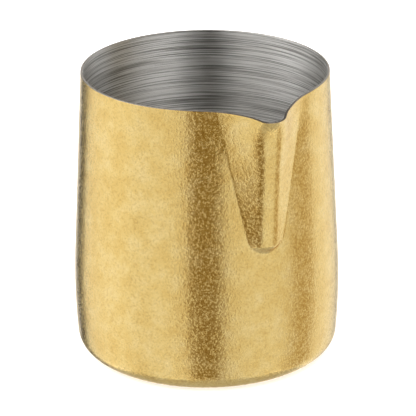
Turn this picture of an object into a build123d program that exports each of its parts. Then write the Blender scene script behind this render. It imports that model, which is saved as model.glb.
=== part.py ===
from build123d import *

"""Handleless milk frothing jug, drawn from one piece of stainless steel.

The wall leans in towards the mouth, bellies out gently above the base and turns into
it round a small corner. The base panel is pressed up a little, so the jug stands on a
ring. A pouring spout is pressed out of the upper half of the wall: a rounded nose
between two flanks that meet the wall in creases, spread upwards and open out into a
flared lip at the rim. The outside carries a brass-coloured coat, and the inside and the
rim's edge are bare steel.

Frame: +Z up, +X towards the spout, origin where the jug's axis meets the surface that
it stands on. Millimetres and degrees.
"""

import math
import os

# Outer form
HEIGHT = 90.0
MOUTH_RADIUS = 37.9
WALL_LEAN = 2.97  # off the vertical, in towards the mouth
BELLY_RADIUS = 208.0  # of the long arc between the wall and the corner
BELLY_TURN_IN = 4.5  # lean of the belly where it meets the corner
CORNER_RADIUS = 5.7

# Base panel, pressed up inside the standing ring
RING_INNER_RADIUS = 30.0
PANEL_RISE = 0.9
STEP_RADIUS = 2.4  # of each of the two arcs that make the step

# Sheet. A real coat is a few thousandths of a millimetre thick; this one is a solid.
COAT = 0.2
STEEL = 0.5

# Spout. In plan, low down, a nose arc and two flat flanks that meet the wall in creases
SPOUT_END = 43.7  # height where the nose rises out of the wall
END_RISE = 1.4  # how far the nose's rounded lower end stands out
END_LENGTH = 3.4
END_ROUND = 5.5  # height over which the creases round into the lower end
NOSE_LEAN = 0.115  # further reach for each millimetre of height
NOSE_RADIUS = 6.8
CREASE_RADIUS = 3.0
CREASE_ANGLE = 7.1  # of each crease from the middle of the spout, at the lower end
CREASE_SPREAD = 0.312  # further angle for each millimetre of height

# Towards the rim each flank opens out into a wide hollow arc that touches the nose arc.
HOLLOW_START = 70.0
HOLLOW_END = 92.0
HOLLOW_RADIUS = 12.0
RIM_HOLLOW_RADIUS = 32.0
HOLLOW_GROWTH_START = 50.0
OPEN_NOSE_RADIUS = 9.3
LIP_RADIUS = 5.9  # of the nose at the lip's tip
NOSE_LIMIT = 1.5  # share of that change past which the nose stops tightening

# Lip, the flare at the top of the nose, and the fall of the rim towards it
LIP_START = 73.7
LIP_REACH = 1.65
LIP_POWER = 4.85
LIP_DIP = 2.7
LIP_DIP_START = 29.8  # distance from the axis where the rim starts to fall
LIP_TIP = 46.2  # distance of the lip's tip from the axis
LIP_ARC_SWEEP = 20.0  # carries the falling arc out past the lip's tip
BLOCK_HALF_WIDTH = 60.0  # of the block that trims the rim, wider than the jug

# Sections that the upper wall is lofted through
SEAM_HEIGHT = 38.0  # below the spout, where the lofted wall stands on the turned body
LOFT_OVERRUN = 3.0  # carried past the rim, then trimmed off
SECTIONS = 65
PLAIN_STEP = 7.25  # between points on the plain wall
SPOUT_STEP = 1.25  # between points across the spout
SPOUT_HALF_ANGLE = 35.0
FUSE_TOLERANCE = 1e-3


def ramp(value, start, end):
    """0 up to start and 1 at end, going on past 1."""
    return max(0.0, (value - start) / (end - start))


def eased(t):
    """t from 0 to 1, level at both ends."""
    t = min(1.0, t)
    return t * t * (3 - 2 * t)


def wall_radius(z, inset=0.0):
    """Radius of the straight wall at height z, inset along its normal."""
    lean = math.radians(WALL_LEAN)
    return MOUTH_RADIUS + (HEIGHT - z) * math.tan(lean) - inset / math.cos(lean)


def arc_centres():
    """Centres (radius, height) of the belly arc and of the corner arc."""
    lean, turn_in = math.radians(WALL_LEAN), math.radians(BELLY_TURN_IN)
    belly_z = CORNER_RADIUS + (BELLY_RADIUS - CORNER_RADIUS) * math.sin(turn_in)
    wall_foot_z = belly_z + BELLY_RADIUS * math.sin(lean)
    belly_r = wall_radius(wall_foot_z) - BELLY_RADIUS * math.cos(lean)
    corner_r = belly_r + (BELLY_RADIUS - CORNER_RADIUS) * math.cos(turn_in)
    return (belly_r, belly_z), (corner_r, CORNER_RADIUS)


def turned_body(inset):
    """Solid of revolution from the base up to the seam, inset from the outer surface."""
    belly, corner = arc_centres()
    step_turn = math.degrees(math.acos(1 - PANEL_RISE / (2 * STEP_RADIUS)))
    step_width = 2 * STEP_RADIUS * math.sin(math.radians(step_turn))
    ring_side = (RING_INNER_RADIUS, STEP_RADIUS)
    panel_side = (RING_INNER_RADIUS - step_width, PANEL_RISE - STEP_RADIUS)
    with BuildPart() as body:
        with BuildSketch(Plane.XZ):
            with BuildLine():
                panel_arc = CenterArc(panel_side, STEP_RADIUS + inset, 90, -step_turn)
                ring_arc = CenterArc(ring_side, STEP_RADIUS - inset, 270 - step_turn, step_turn)
                corner_arc = CenterArc(corner, CORNER_RADIUS - inset, 270, 90 - BELLY_TURN_IN)
                belly_arc = CenterArc(
                    belly, BELLY_RADIUS - inset, -BELLY_TURN_IN, BELLY_TURN_IN + WALL_LEAN
                )
                Line(ring_arc @ 1, corner_arc @ 0)
                Polyline(
                    belly_arc @ 1,
                    (wall_radius(SEAM_HEIGHT, inset), SEAM_HEIGHT),
                    (0, SEAM_HEIGHT),
                    (0, PANEL_RISE + inset),
                    panel_arc @ 0,
                )
            make_face()
        revolve(axis=Axis.Z)
    return body.part


def lip_flare(z):
    """0 below the lip, rising ever faster to 1 at the height of the lip's tip."""
    return ramp(z, LIP_START, HEIGHT - LIP_DIP) ** LIP_POWER


def nose_reach(z):
    """How far the nose stands out of the wall at height z."""
    end = END_RISE * eased(ramp(z, SPOUT_END, SPOUT_END + END_LENGTH))
    return end + NOSE_LEAN * (z - SPOUT_END) + LIP_REACH * lip_flare(z)


def ray_to_arc(angle, centre, radius, side):
    """Distance along the ray at that angle to the far (1) or near (-1) side of a circle."""
    toward = centre[0] * math.cos(angle) + centre[1] * math.sin(angle)
    aside = centre[0] * math.sin(angle) - centre[1] * math.cos(angle)
    return toward + side * math.sqrt(max(0.0, radius**2 - aside**2))


def creased_radius(angle, z, inset):
    """Distance from the axis to a section with a nose, flat flanks and creases."""
    wall, tip = wall_radius(z), wall_radius(z) + nose_reach(z)
    rounding = math.sqrt(1 - (1 - min(1.0, (z - SPOUT_END) / END_ROUND)) ** 2)
    crease = math.radians(CREASE_ANGLE + CREASE_SPREAD * (z - SPOUT_END)) * rounding
    nose_x = tip - NOSE_RADIUS
    foot_x, foot_y = wall * math.cos(crease) - nose_x, wall * math.sin(crease)
    # The flank runs from its foot on the wall and touches the nose arc; facing is its normal.
    facing = math.atan2(foot_y, foot_x) - math.acos(NOSE_RADIUS / math.hypot(foot_x, foot_y))
    flank = wall * math.cos(facing - crease)
    centre_angle = facing - math.acos((flank + CREASE_RADIUS) / (wall + CREASE_RADIUS))
    centre_r = wall + CREASE_RADIUS
    centre = (centre_r * math.cos(centre_angle), centre_r * math.sin(centre_angle))
    if angle >= centre_angle:
        return wall_radius(z, inset)
    fillet = CREASE_RADIUS + inset
    if angle >= joint_angle(centre, -fillet, facing):
        return ray_to_arc(angle, centre, fillet, -1)
    if angle >= joint_angle((nose_x, 0.0), NOSE_RADIUS - inset, facing):
        return (flank - inset) / math.cos(facing - angle)
    return ray_to_arc(angle, (nose_x, 0.0), NOSE_RADIUS - inset, 1)


def joint_angle(centre, reach, facing):
    """Angle round the axis of the point at that reach from a centre, along a bearing."""
    x = centre[0] + reach * math.cos(facing)
    return math.atan2(centre[1] + reach * math.sin(facing), x)


def open_radius(angle, z, inset):
    """Distance from the axis to a section with a nose between two wide hollow arcs."""
    wall, reach = wall_radius(z, inset), nose_reach(z)
    tightness = min(NOSE_LIMIT, lip_flare(z))
    nose = OPEN_NOSE_RADIUS + (LIP_RADIUS - OPEN_NOSE_RADIUS) * tightness
    growth = ramp(z, HOLLOW_GROWTH_START, HEIGHT - LIP_DIP) ** 2
    hollow = HOLLOW_RADIUS + (RIM_HOLLOW_RADIUS - HOLLOW_RADIUS) * growth + inset
    nose_x = wall_radius(z) + reach - nose
    nose -= inset
    # The hollow arc touches the wall's circle from outside, and the nose arc as well.
    centre_r = wall + hollow
    cosine = (centre_r**2 + nose_x**2 - (nose + hollow) ** 2) / (2 * centre_r * nose_x)
    spread = math.acos(cosine)
    if angle >= spread:
        return wall
    centre = (centre_r * cosine, centre_r * math.sin(spread))
    share = nose / (nose + hollow)
    join = (nose_x + (centre[0] - nose_x) * share, centre[1] * share)
    if angle >= math.atan2(join[1], join[0]):
        return ray_to_arc(angle, centre, hollow, -1)
    return ray_to_arc(angle, (nose_x, 0.0), nose, 1)


def plan_radius(angle, z, inset):
    """Distance from the axis to the wall at height z, angle radians round from the spout."""
    if z <= SPOUT_END:
        return wall_radius(z, inset)
    openness = eased(ramp(z, HOLLOW_START, HOLLOW_END))
    creased = creased_radius(abs(angle), z, inset)
    if openness == 0:
        return creased
    return creased + (open_radius(abs(angle), z, inset) - creased) * openness


def section_angles():
    """Angles round from the spout, close together across it, from the back round to the back."""
    side = 180 - SPOUT_HALF_ANGLE
    plain = round(side / PLAIN_STEP)
    fine = round(2 * SPOUT_HALF_ANGLE / SPOUT_STEP)
    left = [-180 + side * i / plain for i in range(plain)]
    spout = [-SPOUT_HALF_ANGLE + 2 * SPOUT_HALF_ANGLE * i / fine for i in range(fine)]
    right = [SPOUT_HALF_ANGLE + side * i / plain for i in range(plain)]
    return [math.radians(a) for a in left + spout + right]


def section_heights():
    """Heights of the sections, evenly spaced so that the lofted surface stays true."""
    top = HEIGHT + LOFT_OVERRUN
    return [SEAM_HEIGHT + (top - SEAM_HEIGHT) * i / SECTIONS for i in range(SECTIONS + 1)]


def spouted_wall(inset):
    """Solid from the seam up past the rim, with the spout, inset from the outer surface."""
    angles = section_angles()
    rings = []
    for z in section_heights():
        points = []
        for angle in angles:
            r = plan_radius(angle, z, inset)
            points.append((r * math.cos(angle), r * math.sin(angle), z))
        # Every ring has its knots at the same angles, so the lofted surface stays light.
        ring = Edge.make_spline(points, periodic=True, parameters=angles + [math.pi])
        rings.append(Wire([ring]))
    return Solid.make_loft(rings)


def below_rim():
    """Everything under the rim: level all round, and falling in an arc to the lip."""
    run = LIP_TIP - LIP_DIP_START
    radius = (run**2 + LIP_DIP**2) / (2 * LIP_DIP)
    with BuildPart() as block:
        with BuildSketch(Plane.XZ):
            with BuildLine():
                fall = CenterArc((LIP_DIP_START, HEIGHT - radius), radius, 90, -LIP_ARC_SWEEP)
                Polyline(
                    fall @ 1,
                    (BLOCK_HALF_WIDTH, (fall @ 1).Y),
                    (BLOCK_HALF_WIDTH, -1),
                    (-BLOCK_HALF_WIDTH, -1),
                    (-BLOCK_HALF_WIDTH, HEIGHT),
                    fall @ 0,
                )
            make_face()
        extrude(amount=BLOCK_HALF_WIDTH, both=True)
    return block.part


def vessel(inset):
    """The jug's outer form, filled solid and inset from the outer surface, before the rim's cut."""
    return turned_body(inset).fuse(spouted_wall(inset), tol=FUSE_TOLERANCE)


def main():
    os.makedirs("parts", exist_ok=True)
    outside, joint, inside = (vessel(depth) for depth in (0.0, COAT, COAT + STEEL))
    keep = below_rim()
    # Each hollow is cut with a form that runs on past the rim.
    export_step((outside & keep) - joint, "parts/brass_coat.step")
    export_step((joint & keep) - inside, "parts/steel_body.step")


main()
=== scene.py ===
import math

import bpy
from mathutils import Matrix, Vector


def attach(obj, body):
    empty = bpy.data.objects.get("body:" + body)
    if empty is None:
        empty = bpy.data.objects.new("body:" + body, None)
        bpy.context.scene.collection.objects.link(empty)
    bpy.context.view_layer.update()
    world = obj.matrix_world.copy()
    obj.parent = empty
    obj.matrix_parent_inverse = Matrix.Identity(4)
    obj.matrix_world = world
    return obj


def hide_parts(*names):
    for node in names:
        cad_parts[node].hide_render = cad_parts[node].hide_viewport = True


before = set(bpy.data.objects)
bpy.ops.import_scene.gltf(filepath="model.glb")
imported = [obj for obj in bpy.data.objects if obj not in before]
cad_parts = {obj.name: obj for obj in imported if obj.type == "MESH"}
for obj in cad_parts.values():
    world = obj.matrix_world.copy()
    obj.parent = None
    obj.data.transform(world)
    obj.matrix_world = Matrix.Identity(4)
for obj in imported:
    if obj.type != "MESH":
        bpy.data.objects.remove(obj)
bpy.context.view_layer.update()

MM = 0.001

# ---------------------------------------------------------------- the jug's sizes, in mm and degrees
HEIGHT = 90.0
MOUTH_RADIUS = 37.9
WALL_LEAN = 2.97  # off the vertical, in towards the mouth
BELLY_RADIUS = 208.0  # of the long arc between the wall and the corner
BELLY_TURN_IN = 4.5  # lean of the belly where it meets the corner
CORNER_RADIUS = 5.7
RING_INNER_RADIUS = 30.0  # of the ring that the jug stands on
PANEL_RISE = 0.9  # of the base panel inside that ring
STEP_RADIUS = 2.4
COAT = 0.2
WALL = 0.7  # coat and steel together

# Spout: a nose arc and two flat flanks that meet the wall in creases
SPOUT_END = 43.7
END_RISE = 1.4
END_LENGTH = 3.4
END_ROUND = 5.5
NOSE_LEAN = 0.115
NOSE_RADIUS = 6.8
CREASE_RADIUS = 1.2
CREASE_ANGLE = 7.1
CREASE_SPREAD = 0.312

# Towards the rim each flank opens out into a wide hollow arc that touches the nose arc.
HOLLOW_START = 70.0
HOLLOW_END = 92.0
HOLLOW_RADIUS = 12.0
RIM_HOLLOW_RADIUS = 32.0
HOLLOW_GROWTH_START = 50.0
OPEN_NOSE_RADIUS = 9.3
LIP_RADIUS = 5.9
NOSE_LIMIT = 1.5  # share of that change past which the nose stops tightening

# Lip, the flare at the top of the nose, and the fall of the rim towards it
LIP_START = 73.7
LIP_REACH = 1.65
LIP_POWER = 4.85
LIP_DIP = 2.7
LIP_DIP_START = 29.8  # distance from the axis where the rim starts to fall
LIP_TIP = 46.2

# The coat thins out over the last few millimetres, so the rim shows the bare sheet's edge.
COAT_FADE = 4.0
COAT_AT_RIM = 0.02
EDGE_ROUND = 0.12  # of the sheet's deburred edge
RIM_PASSES = 12  # enough for the rim's height to settle

# Mesh steps: rows up the wall, and angles round it
SEAM_HEIGHT = 37.0  # top of the turned body
END_ROWS_TOP = SPOUT_END + 6  # close rows up to here, for the nose's rounded end
LIP_ROWS_START = 66.0  # from here up the rows lean over to follow the rim
TOP_ROW = 0.05  # keeps the rim's shading off the wall below it
PLAIN_STEP = 2.5
SPOUT_STEP = 0.4
SPOUT_HALF_ANGLE = 35.0

# ---------------------------------------------------------------- camera and light tent, in metres
CAMERA_DISTANCE = 792.0 * MM  # from the jug's axis
CAMERA_HEIGHT = 361.9 * MM
CAMERA_BEARING = -26.45  # round from the spout
CAMERA_PITCH = -21.846
CAMERA_ROLL = -0.457
CAMERA_YAW = 0.040
SENSOR_WIDTH = 36.0
FOCAL_LENGTH = 238.378846  # mm, for that sensor

TENT_RADIUS = 1.2  # from the axis to each upright panel
TENT_BOTTOM = -1.3
TENT_TOP = 3.6
TENT_SHOULDER = 0.3  # below it the panels light the outside, above it the inside
FLOOR_HALF = 6.0


# ---------------------------------------------------------------- camera
def place_camera():
    """Looks down on the jug, with the spout turned to the right of the camera."""
    turn = math.radians(CAMERA_BEARING)
    pitch, roll, yaw = (math.radians(a) for a in (CAMERA_PITCH, CAMERA_ROLL, CAMERA_YAW))
    away = Vector((-math.cos(turn), -math.sin(turn), 0))
    away.rotate(Matrix.Rotation(-yaw, 3, "Z"))
    right = away.cross(Vector((0, 0, 1)))
    look = away * math.cos(pitch) + Vector((0, 0, math.sin(pitch)))
    up = right.cross(look)
    tilt = Matrix.Rotation(-roll, 3, look)
    right, up = tilt @ right, tilt @ up
    camera = bpy.data.objects.new("camera", bpy.data.cameras.new("camera"))
    bpy.context.scene.collection.objects.link(camera)
    camera.data.sensor_width = SENSOR_WIDTH
    camera.data.lens = FOCAL_LENGTH
    camera.data.clip_end = 50
    axes = Matrix((right, up, -look)).transposed().to_4x4()
    place = (CAMERA_DISTANCE * math.cos(turn), CAMERA_DISTANCE * math.sin(turn), CAMERA_HEIGHT)
    camera.matrix_world = Matrix.Translation(place) @ axes
    bpy.context.scene.camera = camera


place_camera()


# ---------------------------------------------------------------- the jug's form
def ramp(value, start, end):
    """0 up to start and 1 at end, going on past 1."""
    return max(0.0, (value - start) / (end - start))


def eased(t):
    """t from 0 to 1, level at both ends."""
    t = min(1.0, t)
    return t * t * (3 - 2 * t)


def wall_radius(z, inset=0.0):
    """Radius of the straight wall at height z, inset along its normal."""
    lean = math.radians(WALL_LEAN)
    return MOUTH_RADIUS + (HEIGHT - z) * math.tan(lean) - inset / math.cos(lean)


def lip_flare(z):
    """0 below the lip, rising ever faster to 1 at the height of the lip's tip."""
    return ramp(z, LIP_START, HEIGHT - LIP_DIP) ** LIP_POWER


def nose_reach(z):
    """How far the nose stands out of the wall at height z."""
    end = END_RISE * eased(ramp(z, SPOUT_END, SPOUT_END + END_LENGTH))
    return end + NOSE_LEAN * (z - SPOUT_END) + LIP_REACH * lip_flare(z)


def ray_to_arc(angle, centre, radius, side):
    """Distance along the ray at that angle to the far (1) or near (-1) side of a circle."""
    toward = centre[0] * math.cos(angle) + centre[1] * math.sin(angle)
    aside = centre[0] * math.sin(angle) - centre[1] * math.cos(angle)
    return toward + side * math.sqrt(max(0.0, radius**2 - aside**2))


def creased_radius(angle, z, inset):
    """Distance from the axis to a section with a nose, flat flanks and creases."""
    wall, tip = wall_radius(z), wall_radius(z) + nose_reach(z)
    rounding = math.sqrt(1 - (1 - min(1.0, (z - SPOUT_END) / END_ROUND)) ** 2)
    crease = math.radians(CREASE_ANGLE + CREASE_SPREAD * (z - SPOUT_END)) * rounding
    nose_x = tip - NOSE_RADIUS
    foot_x, foot_y = wall * math.cos(crease) - nose_x, wall * math.sin(crease)
    # The flank runs from its foot on the wall and touches the nose arc; facing is its normal.
    facing = math.atan2(foot_y, foot_x) - math.acos(NOSE_RADIUS / math.hypot(foot_x, foot_y))
    flank = wall * math.cos(facing - crease)
    centre_angle = facing - math.acos((flank + CREASE_RADIUS) / (wall + CREASE_RADIUS))
    centre_r = wall + CREASE_RADIUS
    centre = (centre_r * math.cos(centre_angle), centre_r * math.sin(centre_angle))
    if angle >= centre_angle:
        return wall_radius(z, inset)
    fillet = CREASE_RADIUS + inset
    if angle >= joint_angle(centre, -fillet, facing):
        return ray_to_arc(angle, centre, fillet, -1)
    if angle >= joint_angle((nose_x, 0.0), NOSE_RADIUS - inset, facing):
        return (flank - inset) / math.cos(facing - angle)
    return ray_to_arc(angle, (nose_x, 0.0), NOSE_RADIUS - inset, 1)


def joint_angle(centre, reach, facing):
    """Angle round the axis of the point at that reach from a centre, along a bearing."""
    x = centre[0] + reach * math.cos(facing)
    return math.atan2(centre[1] + reach * math.sin(facing), x)


def open_radius(angle, z, inset):
    """Distance from the axis to a section with a nose between two wide hollow arcs."""
    wall, reach = wall_radius(z, inset), nose_reach(z)
    tightness = min(NOSE_LIMIT, lip_flare(z))
    nose = OPEN_NOSE_RADIUS + (LIP_RADIUS - OPEN_NOSE_RADIUS) * tightness
    growth = ramp(z, HOLLOW_GROWTH_START, HEIGHT - LIP_DIP) ** 2
    hollow = HOLLOW_RADIUS + (RIM_HOLLOW_RADIUS - HOLLOW_RADIUS) * growth + inset
    nose_x = wall_radius(z) + reach - nose
    nose -= inset
    # The hollow arc touches the wall's circle from outside, and the nose arc as well.
    centre_r = wall + hollow
    cosine = (centre_r**2 + nose_x**2 - (nose + hollow) ** 2) / (2 * centre_r * nose_x)
    spread = math.acos(cosine)
    if angle >= spread:
        return wall
    centre = (centre_r * cosine, centre_r * math.sin(spread))
    share = nose / (nose + hollow)
    join = (nose_x + (centre[0] - nose_x) * share, centre[1] * share)
    if angle >= math.atan2(join[1], join[0]):
        return ray_to_arc(angle, centre, hollow, -1)
    return ray_to_arc(angle, (nose_x, 0.0), nose, 1)


def plan_radius(angle, z, inset):
    """Distance from the axis to the wall at height z, angle radians round from the spout."""
    if z <= SPOUT_END:
        return wall_radius(z, inset)
    openness = eased(ramp(z, HOLLOW_START, HOLLOW_END))
    creased = creased_radius(abs(angle), z, inset)
    if openness == 0:
        return creased
    return creased + (open_radius(abs(angle), z, inset) - creased) * openness


def rim_height(angle, inset):
    """Height of the rim: level all round, and falling in an arc to the lip."""
    run = LIP_TIP - LIP_DIP_START
    radius = (run**2 + LIP_DIP**2) / (2 * LIP_DIP)
    z = HEIGHT
    for _ in range(RIM_PASSES):
        past = plan_radius(angle, z, inset) * math.cos(angle) - LIP_DIP_START
        z = HEIGHT - radius + math.sqrt(radius**2 - max(0.0, past) ** 2)
    return z


def arc(centre, radius, start, sweep, count):
    """Points (radius from the axis, height) along an arc, angles in degrees."""
    turns = [math.radians(start + sweep * i / count) for i in range(count + 1)]
    return [(centre[0] + radius * math.cos(t), centre[1] + radius * math.sin(t)) for t in turns]


def turned(section):
    """Rings of points round the axis, one for each (radius, height) of a half section."""
    return [[(r * math.cos(a), r * math.sin(a), z) for a in ANGLES] for r, z in section]


def turned_profile(inset):
    """Half section from the middle of the base panel out and up to the seam."""
    lean, turn_in = math.radians(WALL_LEAN), math.radians(BELLY_TURN_IN)
    belly_z = CORNER_RADIUS + (BELLY_RADIUS - CORNER_RADIUS) * math.sin(turn_in)
    foot_z = belly_z + BELLY_RADIUS * math.sin(lean)
    belly_r = wall_radius(foot_z) - BELLY_RADIUS * math.cos(lean)
    corner_r = belly_r + (BELLY_RADIUS - CORNER_RADIUS) * math.cos(turn_in)
    step_turn = math.degrees(math.acos(1 - PANEL_RISE / (2 * STEP_RADIUS)))
    step_width = 2 * STEP_RADIUS * math.sin(math.radians(step_turn))
    panel_r = RING_INNER_RADIUS - step_width
    points = [(panel_r * share, PANEL_RISE + inset) for share in (0.02, 0.25, 0.5, 0.75, 0.97)]
    panel_side = (panel_r, PANEL_RISE - STEP_RADIUS)
    ring_side = (RING_INNER_RADIUS, STEP_RADIUS)
    points += arc(panel_side, STEP_RADIUS + inset, 90, -step_turn, 6)
    points += arc(ring_side, STEP_RADIUS - inset, 270 - step_turn, step_turn, 6)[1:]
    points += [(RING_INNER_RADIUS * (1 - s) + corner_r * s, inset) for s in (0.08, 0.5, 0.92)]
    corner = (corner_r, CORNER_RADIUS)
    points += arc(corner, CORNER_RADIUS - inset, 270, 90 - BELLY_TURN_IN, 20)
    belly = (belly_r, belly_z)
    points += arc(belly, BELLY_RADIUS - inset, -BELLY_TURN_IN, BELLY_TURN_IN + WALL_LEAN, 14)[1:]
    return points


def spans(*stops):
    """Values from the first stop to the last; each later stop is (value, steps)."""
    values = [stops[0]]
    for end, steps in stops[1:]:
        start = values[-1]
        values += [start + (end - start) * i / steps for i in range(1, steps + 1)]
    return values


ANGLES = [
    math.radians(a)
    for a in spans(
        -180.0,
        (-SPOUT_HALF_ANGLE, round((180 - SPOUT_HALF_ANGLE) / PLAIN_STEP)),
        (SPOUT_HALF_ANGLE, round(2 * SPOUT_HALF_ANGLE / SPOUT_STEP)),
        (180.0, round((180 - SPOUT_HALF_ANGLE) / PLAIN_STEP)),
    )[:-1]
]
HEIGHTS = spans(
    SEAM_HEIGHT,
    (SPOUT_END - 0.2, 5),
    (END_ROWS_TOP, 40),
    (LIP_ROWS_START, 16),
    (HEIGHT - TOP_ROW, 40),
    (HEIGHT, 1),
)


def surface(inset, top_gap, thin=None):
    """Rows of points from the base panel's middle up to top_gap below the rim.

    thin(gap) gives the inset at a distance below the rim, where it isn't constant.
    """
    rows = turned(turned_profile(inset))
    rims = [rim_height(a, inset) for a in ANGLES]
    for height in HEIGHTS:
        share = ramp(height, LIP_ROWS_START, HEIGHT)
        row = []
        for a, rim in zip(ANGLES, rims):
            z = height
            if share > 0:
                z = LIP_ROWS_START + share * (rim - top_gap - LIP_ROWS_START)
            depth = thin(rim - z) if thin else inset
            r = plan_radius(a, z, depth)
            row.append((r * math.cos(a), r * math.sin(a), z))
        rows.append(row)
    return rows


def rim_row(inset, drop):
    """Points drop below the rim, on the surface at that inset."""
    row = []
    for a in ANGLES:
        z = rim_height(a, inset) - drop
        r = plan_radius(a, z, inset)
        row.append((r * math.cos(a), r * math.sin(a), z))
    return row


def under_coat(gap):
    """Inset of the steel's outer surface at a distance below the rim."""
    return COAT_AT_RIM + (COAT - COAT_AT_RIM) * eased(ramp(gap, 0, COAT_FADE))


def build(name, rows, node, material):
    """A closed sheet metal form from rows that run from the axis out and back to it."""
    count = len(ANGLES)
    points = [Vector(p) * MM for row in rows for p in row]
    faces = []
    for j in range(len(rows) - 1):
        for i in range(count):
            k = (i + 1) % count
            faces.append((j * count + i, j * count + k, (j + 1) * count + k, (j + 1) * count + i))
    for row, flip in ((0, True), (len(rows) - 1, False)):
        first = row * count
        middle = len(points)
        points.append(Vector((0, 0, rows[row][0][2])) * MM)
        for i in range(count):
            a, b = first + i, first + (i + 1) % count
            faces.append((middle, b, a) if flip else (middle, a, b))
    mesh = bpy.data.meshes.new(name)
    mesh.from_pydata(points, [], faces)
    mesh.validate()
    mesh.polygons.foreach_set("use_smooth", [True] * len(mesh.polygons))
    mesh.update()
    piece = bpy.data.objects.new(name, mesh)
    bpy.context.scene.collection.objects.link(piece)
    mesh.materials.append(material)
    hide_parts(node)
    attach(piece, "root")
    return piece


# ---------------------------------------------------------------- materials
def linear(hex_colour):
    """sRGB hex to the linear colour that shaders take."""
    parts = [int(hex_colour[i : i + 2], 16) / 255 for i in (0, 2, 4)]
    return [c / 12.92 if c <= 0.04045 else ((c + 0.055) / 1.055) ** 2.4 for c in parts] + [1.0]


def add(tree, kind, settings=None, **inputs):
    """Adds a node with its own settings, and with its inputs set or linked.

    An input is named by its label, or by its place, as in i0 for the first. Its value is
    a constant or another node's output.
    """
    node = tree.nodes.new(kind)
    for key, value in (settings or {}).items():
        setattr(node, key, value)
    for key, value in inputs.items():
        by_place = key[0] == "i" and key[1:].isdigit()
        socket = node.inputs[int(key[1:])] if by_place else node.inputs[key.replace("_", " ")]
        if isinstance(value, bpy.types.NodeSocket):
            tree.links.new(value, socket)
        else:
            socket.default_value = value
    return node


def new_material(name):
    """A material with only a principled shader and its output."""
    material = bpy.data.materials.new(name)
    material.use_nodes = True
    tree = material.node_tree
    tree.nodes.clear()
    output = tree.nodes.new("ShaderNodeOutputMaterial")
    shader = tree.nodes.new("ShaderNodeBsdfPrincipled")
    tree.links.new(shader.outputs[0], output.inputs[0])
    return material, tree, shader


def stops(node, *pairs):
    """Sets a colour ramp's stops: (place, hex colour) each."""
    elements = node.color_ramp.elements
    while len(elements) > 1:
        elements.remove(elements[-1])
    for i, (place, colour) in enumerate(pairs):
        element = elements[0] if i == 0 else elements.new(place)
        element.position = place
        element.color = linear(colour)


def tumbled_brass():
    """Brass-coloured metal coat on steel that was tumbled with stones.

    The stones leave a satin skin with fine dents. Where a dark reflection lies, the dents
    catch the lights beside it and glitter; where the light is broad, the skin looks even.
    """
    material, tree, shader = new_material("tumbled_brass_coat")
    place = add(tree, "ShaderNodeTexCoord").outputs["Object"]
    # Dents are about 0.1 mm across, 0.2 mm apart; drawn 0.7 mm apart so that they show.
    grain = add(
        tree,
        "ShaderNodeTexNoise",
        i0=place,
        Scale=1 / (0.7 * MM),
        Detail=2.0,
        Roughness=0.6,
        Distortion=0.3,
    )
    # Cloudy patches where the stones rubbed more, 6 mm across.
    cloud = add(
        tree, "ShaderNodeTexNoise", i0=place, Scale=1 / (6 * MM), Detail=4.0, Roughness=0.62
    )
    # Small worn specks, 1.2 mm apart.
    speck = add(
        tree, "ShaderNodeTexNoise", i0=place, Scale=1 / (1.2 * MM), Detail=2.0, Roughness=0.5
    )
    tint = add(tree, "ShaderNodeValToRGB", i0=cloud.outputs[0])
    stops(tint, (0.36, "E1C176"), (0.52, "E7CA82"), (0.68, "ECD290"))
    dirt = add(tree, "ShaderNodeValToRGB", i0=grain.outputs[0])
    stops(dirt, (0.34, "B9A58C"), (0.47, "F4F0EA"), (0.60, "FFFFFF"))
    worn = add(tree, "ShaderNodeValToRGB", i0=speck.outputs[0])
    stops(worn, (0.30, "EFE6D8"), (0.50, "FFFFFF"))
    multiply = {"data_type": "RGBA", "blend_type": "MULTIPLY"}
    dirty = add(tree, "ShaderNodeMix", multiply, i0=0.28, i6=tint.outputs[0], i7=dirt.outputs[0])
    colour = add(tree, "ShaderNodeMix", multiply, i0=0.4, i6=dirty.outputs[2], i7=worn.outputs[0])
    tree.links.new(colour.outputs[2], shader.inputs["Base Color"])
    gloss = add(
        tree,
        "ShaderNodeMapRange",
        Value=cloud.outputs[0],
        From_Min=0.3,
        From_Max=0.7,
        To_Min=0.19,
        To_Max=0.25,
    )
    tree.links.new(gloss.outputs[0], shader.inputs["Roughness"])
    # Only the grain's peaks are dents; the skin between them is flat.
    dents = add(
        tree,
        "ShaderNodeMapRange",
        {"interpolation_type": "SMOOTHSTEP"},
        Value=grain.outputs[0],
        From_Min=0.48,
        From_Max=0.72,
    )
    dented = add(tree, "ShaderNodeBump", Strength=1.0, Distance=0.038 * MM, Height=dents.outputs[0])
    uneven = add(
        tree,
        "ShaderNodeBump",
        Strength=1.0,
        Distance=0.05 * MM,
        Height=speck.outputs[0],
        Normal=dented.outputs[0],
    )
    tree.links.new(uneven.outputs[0], shader.inputs["Normal"])
    shader.inputs["Metallic"].default_value = 1.0
    return material


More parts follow.
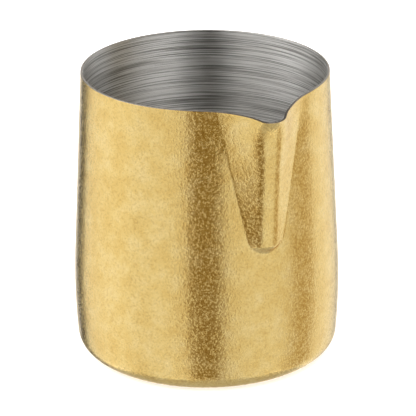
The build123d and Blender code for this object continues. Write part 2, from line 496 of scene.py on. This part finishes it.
def brushed_steel():
    """Bare stainless steel, brushed round the axis on a lathe.

    Long fine lines run round the wall. They draw each light out into an upright band and
    break it into streaks.
    """
    material, tree, shader = new_material("brushed_stainless_steel")
    place = add(tree, "ShaderNodeTexCoord").outputs["Object"]
    parts = add(tree, "ShaderNodeSeparateXYZ", i0=place)
    level = add(tree, "ShaderNodeVectorMath", {"operation": "MULTIPLY"}, i0=place, i1=(1, 1, 0))
    radius = add(tree, "ShaderNodeVectorMath", {"operation": "LENGTH"}, i0=level.outputs[0])
    # Height plus radius changes across the lines, on the wall and on the base alike.
    crossways = add(
        tree,
        "ShaderNodeMath",
        {"operation": "ADD"},
        i0=parts.outputs[2],
        i1=radius.outputs["Value"],
    )

    def lines(length, width):
        """Noise drawn out into streaks that many millimetres long and wide."""
        squeezed = add(
            tree,
            "ShaderNodeMath",
            {"operation": "MULTIPLY"},
            i0=crossways.outputs[0],
            i1=length / width,
        )
        spot = add(
            tree,
            "ShaderNodeCombineXYZ",
            i0=parts.outputs[0],
            i1=parts.outputs[1],
            i2=squeezed.outputs[0],
        )
        return add(
            tree,
            "ShaderNodeTexNoise",
            i0=spot.outputs[0],
            Scale=1 / (length * MM),
            Detail=3.0,
            Roughness=0.6,
        )

    # Brush lines are 0.05 to 0.1 mm wide; drawn at 0.22 and 1.2 mm so that they show.
    fine, broad = lines(30.0, 0.22), lines(60.0, 1.2)
    both = add(
        tree,
        "ShaderNodeMix",
        {"data_type": "FLOAT"},
        i0=0.22,
        i2=fine.outputs[0],
        i3=broad.outputs[0],
    )
    colour = add(tree, "ShaderNodeValToRGB", i0=both.outputs[0])
    stops(colour, (0.41, "97948F"), (0.50, "E2E0DC"), (0.57, "FFFEFB"))
    tree.links.new(colour.outputs[0], shader.inputs["Base Color"])
    gloss = add(
        tree,
        "ShaderNodeMapRange",
        Value=both.outputs[0],
        From_Min=0.3,
        From_Max=0.7,
        To_Min=0.44,
        To_Max=0.33,
    )
    tree.links.new(gloss.outputs[0], shader.inputs["Roughness"])
    bump = add(tree, "ShaderNodeBump", Strength=1.0, Distance=0.13 * MM, Height=both.outputs[0])
    tree.links.new(bump.outputs[0], shader.inputs["Normal"])
    tangent = add(tree, "ShaderNodeTangent", {"direction_type": "RADIAL", "axis": "Z"})
    tree.links.new(tangent.outputs[0], shader.inputs["Tangent"])
    shader.inputs["Metallic"].default_value = 1.0
    shader.inputs["Anisotropic"].default_value = 1.0
    # A quarter turn, so the highlights stretch across the lines.
    shader.inputs["Anisotropic Rotation"].default_value = 0.25
    return material


def cut_edge():
    """The sheet's edge at the rim, ground square and deburred: duller than the brushed wall."""
    material, tree, shader = new_material("deburred_steel_edge")
    place = add(tree, "ShaderNodeTexCoord").outputs["Object"]
    # Grinding marks, 0.5 mm apart.
    marks = add(tree, "ShaderNodeTexNoise", i0=place, Scale=1 / (0.5 * MM), Detail=3.0)
    colour = add(tree, "ShaderNodeValToRGB", i0=marks.outputs[0])
    stops(colour, (0.3, "8A8178"), (0.7, "A79E93"))
    tree.links.new(colour.outputs[0], shader.inputs["Base Color"])
    gloss = add(tree, "ShaderNodeMapRange", Value=marks.outputs[0], To_Min=0.3, To_Max=0.5)
    tree.links.new(gloss.outputs[0], shader.inputs["Roughness"])
    shader.inputs["Metallic"].default_value = 1.0
    return material


def matte_paper():
    """White backdrop paper, matte with a faint tooth, on a table that is lit from below."""
    material, tree, shader = new_material("white_backdrop_paper")
    place = add(tree, "ShaderNodeTexCoord").outputs["Object"]
    # The paper's tooth, 1.5 mm apart; real paper's is finer.
    tooth = add(tree, "ShaderNodeTexNoise", i0=place, Scale=1 / (1.5 * MM), Detail=2.0)
    colour = add(tree, "ShaderNodeValToRGB", i0=tooth.outputs[0])
    stops(colour, (0.3, "F6F6F5"), (0.7, "FAFAF9"))
    tree.links.new(colour.outputs[0], shader.inputs["Base Color"])
    shader.inputs["Roughness"].default_value = 0.9
    # Light comes through the paper, so nearly no shadow shows on it.
    shader.inputs["Emission Color"].default_value = linear("FFFFFF")
    shader.inputs["Emission Strength"].default_value = 0.6
    return material


# ---------------------------------------------------------------- the two pieces
def make_coat():
    """The brass-coloured skin over the whole outside, underside included."""
    outer = surface(0.0, EDGE_ROUND)
    inner = surface(COAT, EDGE_ROUND, under_coat)
    build("coat", outer + inner[::-1], "brass_coat", tumbled_brass())


def make_vessel():
    """The steel sheet, with its bare edge rounded over at the rim."""
    outer = surface(COAT, EDGE_ROUND, under_coat)
    inner = surface(WALL, EDGE_ROUND)
    turns = [math.radians(t) for t in (30, 60, 90)]
    edge = [(EDGE_ROUND * (1 - math.cos(t)), EDGE_ROUND * (1 - math.sin(t))) for t in turns]
    rise = [rim_row(COAT_AT_RIM + across, drop) for across, drop in edge]
    fall = [rim_row(WALL - across, drop) for across, drop in reversed(edge)]
    rows = outer + rise + fall + inner[::-1]
    piece = build("vessel", rows, "steel_body", brushed_steel())
    piece.data.materials.append(cut_edge())
    first = (len(outer) - 1) * len(ANGLES)
    last = first + (len(rise) + len(fall)) * len(ANGLES)
    for face in piece.data.polygons[first:last]:
        face.material_index = 1


make_coat()
make_vessel()


# ---------------------------------------------------------------- floor and light
def make_floor():
    """A wide sheet of backdrop paper on the standing plane."""
    sides = ((-1, -1), (1, -1), (1, 1), (-1, 1))
    corners = [(FLOOR_HALF * x, FLOOR_HALF * y, 0) for x, y in sides]
    mesh = bpy.data.meshes.new("floor")
    mesh.from_pydata(corners, [], [(0, 1, 2, 3)])
    floor = bpy.data.objects.new("floor", mesh)
    bpy.context.scene.collection.objects.link(floor)
    mesh.materials.append(matte_paper())
    # The light tent goes on below the table's edge, so the metal mirrors the tent.
    floor.visible_glossy = False


def light_panel(name, place, facing, width, height, energy, colour="FFFFFF"):
    """A soft rectangular light, width by height metres, that shines towards facing."""
    light = bpy.data.lights.new(name, "AREA")
    light.shape = "RECTANGLE"
    light.color = linear(colour)[:3]
    light.size = width
    light.size_y = height
    light.energy = energy
    lamp = bpy.data.objects.new(name, light)
    lamp.location = place
    lamp.rotation_euler = Vector(facing).to_track_quat("-Z", "Y").to_euler()
    bpy.context.scene.collection.objects.link(lamp)
    return lamp


def softbox(name, start, end, brightness, bottom, top, colour="FFFFFF"):
    """An upright panel of the tent, from one bearing to another, in degrees.

    Bearings are taken to the right of the camera. The jug's wall mirrors a panel at half
    its bearing, so each panel is one bright band on the metal and each gap a dark one.
    """
    half = math.radians((end - start) / 2)
    turn = math.radians(CAMERA_BEARING + (start + end) / 2)
    width, height = 2 * TENT_RADIUS * math.tan(half), top - bottom
    outward = Vector((math.cos(turn), math.sin(turn), 0))
    place = outward * TENT_RADIUS + Vector((0, 0, (bottom + top) / 2))
    energy = brightness * math.pi * width * height
    light_panel(name, place, -outward, width, height, energy, colour)


def light_tent():
    """Soft panels round the jug, with a dark gap where the camera looks in."""
    world = bpy.data.worlds.new("tent")
    bpy.context.scene.world = world
    world.use_nodes = True
    background = world.node_tree.nodes["Background"]
    background.inputs["Color"].default_value = linear("FFF9F0")
    background.inputs["Strength"].default_value = 0.04
    low, shoulder, high = TENT_BOTTOM, TENT_SHOULDER, TENT_TOP
    softbox("left_light", -134, -70, 1.10, low, high)
    softbox("left_front_light", -70, -16.5, 0.97, low, shoulder)
    softbox("right_front_light", 13.5, 77, 0.93, low, shoulder)
    softbox("right_gap_light", 77, 105, 0.58, low, high, "FFE9BC")
    softbox("right_light", 105, 151, 1.10, low, 1.4)
    softbox("back_light", 158, 204, 1.25, -1.4, 0.8)
    # Brighter panels above, which only the inside mirrors.
    softbox("upper_left_light", -118, -78, 2.2, 0.5, high)
    softbox("upper_front_light", -70, -23, 1.5, shoulder, high)
    softbox("upper_right_light", 21, 77, 1.5, shoulder, high)
    # A faint panel low in front, which keeps the dark gap between the big lights from going black.
    softbox("front_fill", -18, 13, 0.30, low, 0.1, "F2CC78")
    # Light from below the table's edge, for the undersides of the lip and of the nose's end.
    width = 2.6
    energy = 0.55 * math.pi * width**2
    light_panel("lower_light", (0, 0, TENT_BOTTOM), (0, 0, 1), width, width, energy)
    # A wide light overhead for the paper alone; the metal doesn't mirror it.
    overhead = light_panel("overhead", (0, 0, 1.6), (0, 0, -1), 2.0, 2.0, 30)
    overhead.visible_glossy = False


make_floor()
light_tent()
bpy.context.scene.view_settings.view_transform = "Standard"
